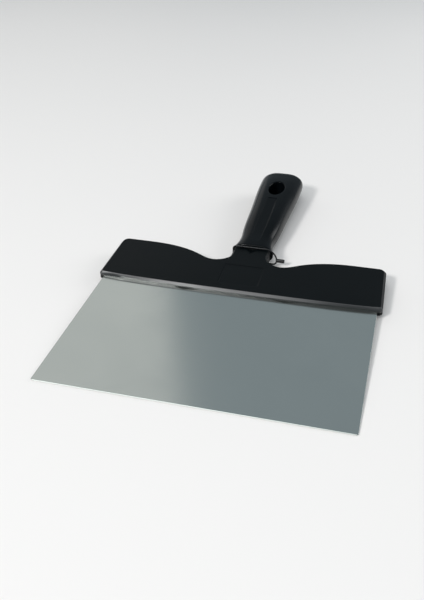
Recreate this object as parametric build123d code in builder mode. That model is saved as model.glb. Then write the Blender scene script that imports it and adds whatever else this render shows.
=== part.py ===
from build123d import *
from math import cos, radians, sin
import os

# Wide blade scraper with a moulded back and a moulded grip, in millimetres.
# +X runs along the working edge, +Y from the working edge to the grip's end, and +Z out through
# the front face. The origin is the middle of the working edge, half way through the blade.

# blade
bladeWidth = 200.0
bladeThickness = 0.8
bladeLength = 140.0
bladeCorner = 1.5
edgeBevel = 0.25
bladeHoleRadius = 3.0
bladeHoleY = 130.0
bladeHoleXs = (-90.0, -58.0, -26.0, 26.0, 58.0, 90.0)

# yoke, the moulded back that clamps the blade
lipMiddleY = 115.6
lipEndY = 118.0
yokeHalfFront = 103.5
yokeHalfRear = 102.2
crestX = 80.0
crestY = 167.2
slopeX = 48.6
slopeY = 163.0
flankX = 38.6
flankY = 158.8
waistX = 24.6
waistY = 153.7
throatX = 16.4
throatY = 157.6
neckHalfWidth = 14.0
neckY = 164.5
frontCornerRadius = 2.0
rearCornerRadius = 5.5
lipHalfThickness = 3.6
yokeSlope = 0.028
lipBevel = 1.7
lipSoftening = 0.5
bossRadius = 2.9
bossDepth = 2.4
bossGap = 0.1

# blank badge panel and the pocket under the grip's collar
panelWidth = 30.0
panelLength = 24.0
panelY = 136.5
panelDepth = 0.3
pocketHalfWidth = 7.0
pocketLength = 9.5
pocketDepth = 2.2

# tang, riveted to the blade and reaching up into the grip
tangWidth = 18.0
tangThickness = 2.0
tangStart = 122.0
tangEnd = 246.0
tangEndRadius = 4.0
barbCount = 6
barbPitch = 9.0
barbDepth = 1.2
rivetRadius = 2.5
rivetHeadRadius = 4.0
rivetHeadHeight = 0.8
rivetGap = 0.2
rivetYs = (127.0, 135.5)

# grip
collarY = 173.0
gripStations = (
    # y, half width, half height
    (173.0, 16.3, 7.6),
    (176.5, 15.3, 7.7),
    (187.0, 13.5, 8.0),
    (200.0, 14.3, 8.7),
    (236.0, 16.2, 10.0),
    (264.0, 17.8, 10.4),
    (280.0, 18.4, 10.2),
    (293.5, 18.4, 9.5),
)
gripSections = 16
gripEndSections = 5
gripFullness = 0.76
gripCornerRadius = 9.0
gripEndRound = 4.0
gripRimRound = 1.2
spigotWidth = 22.0
spigotHeight = 9.2
spigotCorner = 2.0
spigotEnd = 192.0
eyeHalfWidth = 6.6
eyeHalfLength = 12.4
eyeY = 266.5
eyeRound = 0.9
channelHalfFloor = 3.7
channelDepth = 1.2
channelSpread = 1.2
channelEnd = 254.0
channelStart = 180.0

# shop loop round the neck
loopY = 171.6
loopRadius = 0.6
loopLeft = -14.8
loopRight = 19.2
loopHalfHeight = 6.3
loopCorner = 3.0
loopWideCorner = 9.0
lockLength = 6.2
lockHeight = 2.8
lockDepth = 2.8
lockZ = -2.7
lockRound = 1.2

halfBlade = bladeThickness / 2
tangBottom = -halfBlade - tangThickness
os.makedirs("parts", exist_ok=True)


def yokeFace(side):
    """The sloped outer face of the yoke: side is 1 for the front and -1 for the back."""
    rise = (0, 1, side * yokeSlope)
    normal = Vector(1, 0, 0).cross(Vector(rise)) * side
    return Plane(origin=(0, lipMiddleY, side * lipHalfThickness), x_dir=(1, 0, 0), z_dir=normal)


def yokeShell(side):
    """Half of the yoke, from the parting plane out to its bevelled outer face."""
    with BuildSketch() as outline:
        with BuildLine():
            front = (yokeHalfFront, lipEndY)
            rear = (yokeHalfRear, crestY)
            ThreePointArc((-front[0], front[1]), (0, lipMiddleY), front)
            for x in (1, -1):
                Polyline((x * front[0], front[1]), (x * rear[0], rear[1]), (x * crestX, crestY))
                Spline(
                    (x * crestX, crestY),
                    (x * slopeX, slopeY),
                    (x * flankX, flankY),
                    (x * waistX, waistY),
                    (x * throatX, throatY),
                    (x * neckHalfWidth, neckY),
                    tangents=((-x, 0), (0, 1)),
                )
                Line((x * neckHalfWidth, neckY), (x * neckHalfWidth, collarY))
            Line((-neckHalfWidth, collarY), (neckHalfWidth, collarY))
        make_face()
    with BuildPart() as shell:
        add(outline.sketch)
        extrude(amount=side * 3 * lipHalfThickness)
        upright = shell.edges().filter_by(Axis.Z)
        fillet(upright.group_by(Axis.Y)[0], frontCornerRadius)
        ends = [e for e in upright if e.center().Y > waistY and abs(e.center().X) > crestX + 1]
        fillet(ends, rearCornerRadius)
        split(bisect_by=yokeFace(side), keep=Keep.BOTTOM)
        face = shell.faces().sort_by(Axis.Z)[-1 if side > 0 else 0]
        chamfer([e for e in face.edges() if e.center().Y < collarY - 0.1], lipBevel)
        face = shell.faces().sort_by(Axis.Z)[-1 if side > 0 else 0]
        fillet([e for e in face.edges() if e.center().Y < collarY - 0.1], lipSoftening)
    return shell.part


def spigotHalf(side):
    """Half of the spigot that carries the grip, beyond the neck."""
    with BuildPart() as spigot:
        with BuildSketch(Plane.XZ.offset(-collarY)):
            RectangleRounded(spigotWidth, spigotHeight, spigotCorner)
        extrude(amount=collarY - spigotEnd)
        split(bisect_by=Plane.XY, keep=Keep.TOP if side > 0 else Keep.BOTTOM)
    return spigot.part


def across(y, z):
    """A plane facing -Y at a station along the tool, raised by z."""
    return Plane(origin=(0, y, z), x_dir=(1, 0, 0), z_dir=(0, -1, 0))


rivetPlaces = [(0, y) for y in rivetYs]
bossPlaces = [(x, bladeHoleY) for x in bladeHoleXs]

# blade: a sheet with rounded front corners, a bevelled working edge and a row of holes
with BuildPart() as blade:
    with BuildSketch(Plane.XY.offset(-halfBlade)) as sheet:
        with Locations((0, bladeLength / 2)):
            Rectangle(bladeWidth, bladeLength)
        fillet(sheet.vertices().group_by(Axis.Y)[0], bladeCorner)
        with Locations(*bossPlaces):
            Circle(bladeHoleRadius, mode=Mode.SUBTRACT)
        with Locations(*rivetPlaces):
            Circle(rivetRadius, mode=Mode.SUBTRACT)
    extrude(amount=bladeThickness)
    chamfer(blade.edges().filter_by(Axis.X).group_by(Axis.Y)[0], edgeBevel)
blade.part.label = "blade"
export_step(blade.part, "parts/blade.step")

# tang: a flat bar with barbed edges where it is pressed into the grip
with BuildPart() as tang:
    with BuildSketch(Plane.XY.offset(tangBottom)) as bar:
        with Locations((0, (tangStart + tangEnd) / 2)):
            Rectangle(tangWidth, tangEnd - tangStart)
        fillet(bar.vertices().group_by(Axis.Y)[-1], tangEndRadius)
        with Locations(*rivetPlaces):
            Circle(rivetRadius, mode=Mode.SUBTRACT)
        for barb in range(barbCount):
            tip = tangEnd - tangEndRadius - barbPitch * (barb + 0.5)
            for x in (1, -1):
                edge = x * tangWidth / 2
                with BuildLine():
                    notch = ((edge, tip), (edge, tip - barbPitch / 2), (edge - x * barbDepth, tip))
                    Polyline(*notch, close=True)
                make_face(mode=Mode.SUBTRACT)
    extrude(amount=tangThickness)
tang.part.label = "tang"
export_step(tang.part, "parts/tang.step")

# rivets that join the tang to the blade, each a shank with two flat heads
with BuildPart() as rivets:
    for z, radius, height in (
        (tangBottom, rivetRadius, tangThickness + bladeThickness),
        (tangBottom - rivetHeadHeight, rivetHeadRadius, rivetHeadHeight),
        (halfBlade, rivetHeadRadius, rivetHeadHeight),
    ):
        with BuildSketch(Plane.XY.offset(z)):
            with Locations(*rivetPlaces):
                Circle(radius)
        extrude(amount=height)
rivets.part.label = "tang_rivets"
export_step(rivets.part, "parts/tang_rivets.step")

# front half of the yoke: bosses through the blade, blank panel, pocket under the collar
frontShell = yokeShell(1)
frontSpigot = spigotHalf(1)
with BuildPart() as yokeFront:
    add(frontShell)
    add(frontSpigot)
    with BuildSketch(yokeFace(1).offset(-panelDepth)):
        with Locations((0, panelY - lipMiddleY)):
            RectangleRounded(panelWidth, panelLength, 1.2)
    extrude(amount=2 * panelDepth, mode=Mode.SUBTRACT)
    with BuildSketch(Plane.XY):
        with Locations((0, bladeLength / 2)):
            Rectangle(bladeWidth, bladeLength)
    extrude(amount=halfBlade, mode=Mode.SUBTRACT)
    with BuildSketch(Plane.XY.offset(halfBlade)):
        with Locations(*rivetPlaces):
            Circle(rivetHeadRadius + rivetGap)
    extrude(amount=rivetHeadHeight + rivetGap, mode=Mode.SUBTRACT)
    with BuildSketch(Plane.XY.offset(halfBlade)):
        with Locations(*bossPlaces):
            Circle(bossRadius)
    extrude(amount=-halfBlade - bossDepth)
    with BuildSketch(Plane.XY):
        with Locations((0, (bladeLength + spigotEnd) / 2)):
            Rectangle(tangWidth, spigotEnd - bladeLength)
    extrude(amount=-halfBlade)
    surface = lipHalfThickness + yokeSlope * (collarY - lipMiddleY)
    with BuildSketch(across(collarY, surface)):
        with BuildLine():
            Polyline((-pocketHalfWidth, 0), (0, -pocketDepth), (pocketHalfWidth, 0), close=True)
        make_face()
    rise = pocketDepth - yokeSlope * pocketLength
    extrude(amount=pocketLength, dir=Vector(0, -pocketLength, rise), mode=Mode.SUBTRACT)
yokeFront.part.label = "yoke_front"
export_step(yokeFront.part, "parts/yoke_front.step")

# back half of the yoke: sockets for the bosses, and beds for the tang and the rivet heads
backShell = yokeShell(-1)
backSpigot = spigotHalf(-1)
with BuildPart() as yokeBack:
    add(backShell)
    add(backSpigot)
    with BuildSketch(Plane.XY):
        with Locations((0, bladeLength / 2)):
            Rectangle(bladeWidth, bladeLength)
    extrude(amount=-halfBlade, mode=Mode.SUBTRACT)
    with BuildSketch(Plane.XY):
        with Locations((0, (tangStart + spigotEnd) / 2)):
            Rectangle(tangWidth, spigotEnd - tangStart)
    extrude(amount=tangBottom, mode=Mode.SUBTRACT)
    with BuildSketch(Plane.XY):
        with Locations(*rivetPlaces):
            Circle(rivetHeadRadius + rivetGap)
    extrude(amount=tangBottom - rivetHeadHeight - rivetGap / 2, mode=Mode.SUBTRACT)
    with BuildSketch(Plane.XY):
        with Locations(*bossPlaces):
            Circle(bossRadius + bossGap)
    extrude(amount=-bossDepth - bossGap, mode=Mode.SUBTRACT)
yokeBack.part.label = "yoke_back"
export_step(yokeBack.part, "parts/yoke_back.step")


# grip: a flared oval body with a rounded end, a hanging eye, a shallow channel and a socket
gripLine = Spline(*gripStations)
sections = [gripLine @ (step / gripSections) for step in range(gripSections + 1)]
shoulderY, shoulderWidth, shoulderHeight = sections[-1]
for step in range(1, gripEndSections + 1):
    turn = radians(90 * step / gripEndSections)
    y = shoulderY + gripCornerRadius * sin(turn)
    halfWidth = shoulderWidth - gripCornerRadius * (1 - cos(turn))
    halfHeight = shoulderHeight - gripEndRound * (1 - cos(turn))
    sections.append((y, halfWidth, halfHeight))

# what the channel takes out of the grip's front: sloping sides that run out at both ends
with BuildPart() as channel:
    for y, _, halfHeight in sections:
        if channelStart < y < channelEnd:
            run = (y - channelStart) / (channelEnd - channelStart)
            depth = channelDepth * sin(radians(180 * run))
            halfTop = channelHalfFloor + channelSpread * (depth + 1)
            with BuildSketch(across(y, halfHeight)):
                with BuildLine():
                    Polyline(
                        (-channelHalfFloor, -depth),
                        (channelHalfFloor, -depth),
                        (halfTop, 1),
                        (-halfTop, 1),
                        close=True,
                    )
                make_face()
    loft()

with BuildPart() as grip:
    for y, halfWidth, halfHeight in sections:
        fullX = gripFullness * halfWidth
        fullZ = gripFullness * halfHeight
        with BuildSketch(across(y, 0)):
            with BuildLine():
                for x, z in ((1, 1), (-1, 1), (-1, -1), (1, -1)):
                    quarter = ((x * halfWidth, 0), (x * fullX, z * fullZ), (0, z * halfHeight))
                    Spline(*quarter, tangents=((0, z), (-x, 0)))
            make_face()
    loft()
    fillet(grip.faces().filter_by(GeomType.PLANE).sort_by(Axis.Y)[0].edges(), gripRimRound)
    with BuildSketch(Plane.XY.offset(-2 * shoulderHeight)):
        with Locations((0, eyeY)):
            Ellipse(eyeHalfWidth, eyeHalfLength)
    extrude(amount=4 * shoulderHeight, mode=Mode.SUBTRACT)
    eyeRims = [
        edge
        for edge in grip.edges()
        if edge.bounding_box().max.X < eyeHalfWidth + 0.1
        and edge.bounding_box().min.X > -eyeHalfWidth - 0.1
        and abs(edge.center().Y - eyeY) < eyeHalfLength + 0.1
        and abs(edge.center().Z) > shoulderHeight / 2
    ]
    fillet(eyeRims, eyeRound)
    add(channel.part, mode=Mode.SUBTRACT)
    with BuildSketch(Plane.XZ.offset(-collarY)):
        RectangleRounded(spigotWidth, spigotHeight, spigotCorner)
    extrude(amount=collarY - spigotEnd, mode=Mode.SUBTRACT)
    with BuildSketch(Plane.XY.offset(-halfBlade)):
        with Locations((0, (collarY + tangEnd) / 2)):
            Rectangle(tangWidth, tangEnd - collarY)
    extrude(amount=-tangThickness, mode=Mode.SUBTRACT)
grip.part.label = "grip"
export_step(grip.part, "parts/grip.step")

# shop loop: a closed plastic strand round the neck, with the bead that locks its two ends
with BuildPart() as shopLoop:
    with BuildLine(Plane.XZ.offset(-loopY)) as strand:
        corners = [
            (loopLeft, -loopHalfHeight),
            (loopRight, -loopHalfHeight),
            (loopRight, loopHalfHeight),
            (loopLeft, loopHalfHeight),
        ]
        radii = [loopCorner, loopCorner, loopWideCorner, loopCorner]
        FilletPolyline(*corners, radius=radii, close=True)
    with BuildSketch(Plane(origin=strand.line @ 0, z_dir=strand.line % 0)):
        Circle(loopRadius)
    sweep()
    with BuildSketch(Plane.YZ.offset(loopRight)):
        with Locations((loopY, lockZ)):
            RectangleRounded(lockDepth, lockHeight, lockRound)
    extrude(amount=lockLength)
    lockEnd = shopLoop.faces().sort_by(Axis.X)[-1]
    fillet(lockEnd.edges(), lockRound / 2)
shopLoop.part.label = "shop_loop"
export_step(shopLoop.part, "parts/shop_loop.step")
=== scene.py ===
from math import atan, radians

import bpy
from mathutils import Matrix, Vector


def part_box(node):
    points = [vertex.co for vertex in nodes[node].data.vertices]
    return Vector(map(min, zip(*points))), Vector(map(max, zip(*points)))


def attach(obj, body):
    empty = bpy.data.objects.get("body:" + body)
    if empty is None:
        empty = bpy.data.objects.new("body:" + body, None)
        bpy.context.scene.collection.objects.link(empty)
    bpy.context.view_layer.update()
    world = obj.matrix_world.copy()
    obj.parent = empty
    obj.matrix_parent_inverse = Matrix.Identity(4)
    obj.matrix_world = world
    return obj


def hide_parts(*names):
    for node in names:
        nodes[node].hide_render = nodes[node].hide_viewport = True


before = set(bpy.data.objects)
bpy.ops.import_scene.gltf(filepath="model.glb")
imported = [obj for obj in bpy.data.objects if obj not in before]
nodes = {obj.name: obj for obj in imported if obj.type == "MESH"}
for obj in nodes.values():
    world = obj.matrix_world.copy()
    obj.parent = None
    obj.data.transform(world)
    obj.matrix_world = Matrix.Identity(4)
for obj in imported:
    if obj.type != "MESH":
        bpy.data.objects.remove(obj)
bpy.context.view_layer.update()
mm = 0.001  # metres in a millimetre
wearSize = 30.0  # mm, the patches that vary a plastic's colour and gloss
glossSpread = 0.04  # how far a plastic's roughness strays from its value, either way


def toLinear(colour):
    parts = [int(colour[i:i + 2], 16) / 255 for i in (1, 3, 5)]
    return tuple(c / 12.92 if c <= 0.04045 else ((c + 0.055) / 1.055) ** 2.4 for c in parts) + (1,)


def addNode(tree, kind, inputs=None, **settings):
    node = tree.nodes.new(kind)
    for name, value in settings.items():
        setattr(node, name, value)
    for name, value in (inputs or {}).items():
        if isinstance(value, bpy.types.NodeSocket):
            tree.links.new(value, node.inputs[name])
        else:
            node.inputs[name].default_value = value
    return node


def startMaterial(name):
    material = bpy.data.materials.new(name)
    material.use_nodes = True
    tree = material.node_tree
    tree.nodes.clear()
    place = addNode(tree, "ShaderNodeTexCoord").outputs["Object"]
    return material, tree, place


def finishMaterial(tree, inputs):
    shader = addNode(tree, "ShaderNodeBsdfPrincipled", inputs)
    addNode(tree, "ShaderNodeOutputMaterial", {"Surface": shader.outputs["BSDF"]})


# Satin stainless sheet: a cool grey metal with a faint drawn grain and a few wiped smears
blade = {
    "colour": "#D1D5D0",
    "smearColour": "#C4C9C5",
    "roughness": (0.15, 0.2),
    "grainWidth": 0.35,  # mm, coarser than the real grain so that it shows
    "grainLength": 45.0,  # mm
    "grainHeight": 0.004,  # mm
    "smearSize": 60.0,  # mm
    "groundRoughness": 0.6,  # the bevel of the working edge, set duller so that it has no white line
    "groundEnd": 0.25,  # mm from the working edge
}


def satinStainlessSheet():
    material, tree, place = startMaterial("satinStainlessSheet")
    fine = 1 / (blade["grainWidth"] * mm)
    long = 1 / (blade["grainLength"] * mm)
    stretched = addNode(tree, "ShaderNodeMapping", {"Vector": place, "Scale": (fine, long, fine)})
    grain = addNode(tree, "ShaderNodeTexNoise", {
        "Vector": stretched.outputs["Vector"], "Scale": 1.0, "Detail": 3.0, "Roughness": 0.6})
    smears = addNode(tree, "ShaderNodeTexNoise", {
        "Vector": place, "Scale": 1 / (blade["smearSize"] * mm), "Detail": 3.0, "Distortion": 0.6})
    colour = addNode(tree, "ShaderNodeMix", {
        0: smears.outputs["Fac"], 6: toLinear(blade["colour"]), 7: toLinear(blade["smearColour"])},
        data_type="RGBA")
    low, high = blade["roughness"]
    gloss = addNode(tree, "ShaderNodeMapRange", {
        "Value": smears.outputs["Fac"], "From Min": 0.3, "From Max": 0.7, "To Min": low, "To Max": high})
    along = addNode(tree, "ShaderNodeSeparateXYZ", {"Vector": place}).outputs["Y"]
    edge = blade["groundEnd"] * mm
    ground = addNode(tree, "ShaderNodeMapRange", {
        "Value": along, "From Min": edge, "From Max": 1.4 * edge,
        "To Min": blade["groundRoughness"], "To Max": gloss.outputs["Result"]})
    bump = addNode(tree, "ShaderNodeBump", {
        "Height": grain.outputs["Fac"], "Distance": blade["grainHeight"] * mm, "Strength": 1.0})
    finishMaterial(tree, {
        "Base Color": colour.outputs[2],
        "Metallic": 1.0,
        "Roughness": ground.outputs["Result"],
        "Normal": bump.outputs["Normal"]})
    return material


# Moulded polypropylene with an eroded mould face: near black, dull on the flats
yoke = {
    "colour": "#04080A",
    "dustColour": "#0A0F11",
    "roughness": 0.48,
    "specular": 0.12,
    "grainSize": 0.5,  # mm, coarser than the real texture so that it shows
    "grainHeight": 0.012,  # mm
}
# The yoke's front lip and its bevel, glossier than its face so that they carry a line of light
lip = {
    "colour": "#05080A",
    "dustColour": "#0A0E11",
    "roughness": 0.38,
    "specular": 0.75,
    "grainSize": 0.6,  # mm
    "grainHeight": 0.004,  # mm
    "middleY": 115.6,  # mm, the lip's front
    "bow": 2.4,  # mm that the lip's ends lie farther back than its middle
    "halfWidth": 103.5,  # mm
    "depth": 2.3,  # mm from the lip's front to the flat face
}
# Satin polypropylene: black, smooth enough for a soft streak down the right flank
grip = {
    "colour": "#05080A",
    "dustColour": "#0A0E11",
    "roughness": 0.19,
    "specular": 0.1,
    "grainSize": 0.7,  # mm
    "grainHeight": 0.006,  # mm
}
# Moulded nylon: a thin black strand with a small glint
shopLoop = {
    "colour": "#0D0D0E",
    "dustColour": "#1A1A1C",
    "roughness": 0.28,
    "specular": 0.5,
    "grainSize": 0.8,  # mm
    "grainHeight": 0.004,  # mm
}


def mouldedPlastic(name, values):
    material, tree, place = startMaterial(name)
    grain = addNode(tree, "ShaderNodeTexNoise", {
        "Vector": place, "Scale": 1 / (values["grainSize"] * mm), "Detail": 4.0, "Roughness": 0.6})
    wear = addNode(tree, "ShaderNodeTexNoise", {
        "Vector": place, "Scale": 1 / (wearSize * mm), "Detail": 4.0, "Roughness": 0.65})
    patch = addNode(tree, "ShaderNodeMapRange", {
        "Value": wear.outputs["Fac"], "From Min": 0.35, "From Max": 0.8, "To Min": 0.0, "To Max": 0.5})
    colour = addNode(tree, "ShaderNodeMix", {
        0: patch.outputs["Result"], 6: toLinear(values["colour"]), 7: toLinear(values["dustColour"])},
        data_type="RGBA")
    gloss = addNode(tree, "ShaderNodeMapRange", {
        "Value": wear.outputs["Fac"], "From Min": 0.3, "From Max": 0.7,
        "To Min": values["roughness"] - glossSpread, "To Max": values["roughness"] + glossSpread})
    bump = addNode(tree, "ShaderNodeBump", {
        "Height": grain.outputs["Fac"], "Distance": values["grainHeight"] * mm, "Strength": 1.0})
    finishMaterial(tree, {
        "Base Color": colour.outputs[2],
        "Roughness": gloss.outputs["Result"],
        "IOR": 1.49,
        "Specular IOR Level": values["specular"],
        "Normal": bump.outputs["Normal"]})
    return material


def setMaterial(piece, material):
    piece.data.materials.clear()
    piece.data.materials.append(material)


steel = satinStainlessSheet()
yokePlastic = mouldedPlastic("erodedPolypropylene", yoke)
gripPlastic = mouldedPlastic("satinPolypropylene", grip)
loopPlastic = mouldedPlastic("mouldedNylon", shopLoop)
for name, material in {
    "blade": steel, "tang": steel, "tang_rivets": steel, "yoke_front": yokePlastic,
    "yoke_back": yokePlastic, "grip": gripPlastic, "shop_loop": loopPlastic,
}.items():
    setMaterial(nodes[name], material)
print("materials set")


# A merged, smoothed copy of the yoke's front half, so that its lip can have a finish of its own
def addBurnishedYoke():
    piece = nodes["yoke_front"].copy()
    piece.data = nodes["yoke_front"].data.copy()
    piece.name = "yokeFrontBurnished"
    bpy.context.collection.objects.link(piece)
    bpy.ops.object.select_all(action="DESELECT")
    piece.select_set(True)
    bpy.context.view_layer.objects.active = piece
    bpy.ops.object.mode_set(mode="EDIT")
    bpy.ops.mesh.select_all(action="SELECT")
    bpy.ops.mesh.remove_doubles(threshold=0.002 * mm)
    bpy.ops.mesh.normals_make_consistent(inside=False)
    bpy.ops.object.mode_set(mode="OBJECT")
    bpy.ops.object.shade_smooth_by_angle(angle=radians(25))
    even = piece.modifiers.new("evenNormals", "WEIGHTED_NORMAL")
    even.keep_sharp = True
    even.weight = 100
    bpy.ops.object.modifier_apply(modifier=even.name)
    piece.data.materials.append(mouldedPlastic("burnishedPolypropylene", lip))
    for face in piece.data.polygons:
        bow = lip["bow"] * (face.center.x / (lip["halfWidth"] * mm)) ** 2
        inFront = face.center.y < (lip["middleY"] + bow + lip["depth"]) * mm
        if inFront and face.center.z > 0 and -0.2 < face.normal.z < 0.97:
            face.material_index = 1
    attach(piece, "root")
    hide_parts("yoke_front")


addBurnishedYoke()
print("yoke's lip burnished")

# The tool lies on its working edge and its collar, so the floor leans a little in its frame
stage = {
    "slope": 0.0418,
    "colour": "#EFEBE8",
    "size": 6.0,  # m
    "mottle": 3.0,  # patches in a metre
    "roughness": (0.55, 0.7),
}


# Painted board: pale and matt, with a barely uneven sheen
def paintedFloor():
    material, tree, place = startMaterial("paintedBoard")
    mottle = addNode(tree, "ShaderNodeTexNoise", {
        "Vector": place, "Scale": stage["mottle"], "Detail": 2.0})
    low, high = stage["roughness"]
    gloss = addNode(tree, "ShaderNodeMapRange", {
        "Value": mottle.outputs["Fac"], "To Min": low, "To Max": high})
    finishMaterial(tree, {"Base Color": toLinear(stage["colour"]), "Roughness": gloss.outputs["Result"]})
    return material


bpy.ops.object.select_all(action="DESELECT")
drop = -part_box("blade")[0][2]
bpy.ops.mesh.primitive_plane_add(size=stage["size"], location=(0, 0, -drop))
floor = bpy.context.object
floor.name = "floor"
floor.rotation_euler = (-atan(stage["slope"]), 0, 0)
setMaterial(floor, paintedFloor())

# Softboxes, each with where it stands, what it lights, its size and how bright its face is
warm = "#FCF3EA"
white = "#FFFFFF"
lights = {
    "keyBox": {
        "at": (-1.03, -1.5, 1.6), "aim": (0, 0.12, 0),
        "size": (0.4, 0.4), "radiance": 72.0, "colour": white},
    "wallBox": {
        "at": (-1.09, 0.84, 1.0), "aim": (-0.04, -0.16, 1.0),
        "size": (1.6, 1.8), "radiance": 0.38, "colour": warm},
    "sideBox": {
        "at": (1.1, 1.0, 0.5), "aim": (0, 0.2, 0),
        "size": (0.9, 0.7), "radiance": 3.6, "colour": white},
    "topBox": {
        "at": (0.0, -0.9, 2.2), "aim": (0, 0.12, 0),
        "size": (2.0, 2.0), "radiance": 1.48, "colour": white},
}
room = {"colour": "#BFCCD4", "strength": 0.56}


def addSoftbox(name, values):
    width, height = values["size"]
    place = Vector(values["at"])
    bpy.ops.object.light_add(type="AREA", location=place)
    box = bpy.context.object
    box.name = name
    box.data.shape = "RECTANGLE"
    box.data.size = width
    box.data.size_y = height
    box.data.color = toLinear(values["colour"])[:3]
    box.data.energy = values["radiance"] * radians(180) * width * height
    box.rotation_euler = (Vector(values["aim"]) - place).to_track_quat("-Z", "Y").to_euler()


for name, values in lights.items():
    addSoftbox(name, values)
world = bpy.data.worlds.new("room")
bpy.context.scene.world = world
world.use_nodes = True
world.node_tree.nodes.clear()
backdrop = addNode(world.node_tree, "ShaderNodeBackground", {
    "Color": toLinear(room["colour"]), "Strength": room["strength"]})
addNode(world.node_tree, "ShaderNodeOutputWorld", {"Surface": backdrop.outputs["Background"]})
print("floor and lights set")

camera = {
    "at": (0.10529, -0.29255, 0.29593),
    "aim": (-0.00025, 0.10977, 0.0),
    "roll": 0.843,  # degrees, clockwise
    "lens": 43.634,  # mm, with a 36 mm tall sensor
    "shiftX": -0.0333,
}
place = Vector(camera["at"])
turn = (Vector(camera["aim"]) - place).to_track_quat("-Z", "Y").to_matrix().to_4x4()
bpy.ops.object.camera_add()
view = bpy.context.object
view.name = "mainCamera"
view.matrix_world = Matrix.Translation(place) @ turn @ Matrix.Rotation(radians(-camera["roll"]), 4, "Z")
view.data.lens = camera["lens"]
view.data.sensor_width = 36
view.data.shift_x = camera["shiftX"]
view.data.clip_start = 0.01
bpy.context.scene.camera = view
bpy.context.scene.view_settings.view_transform = "Standard"
print("camera set")
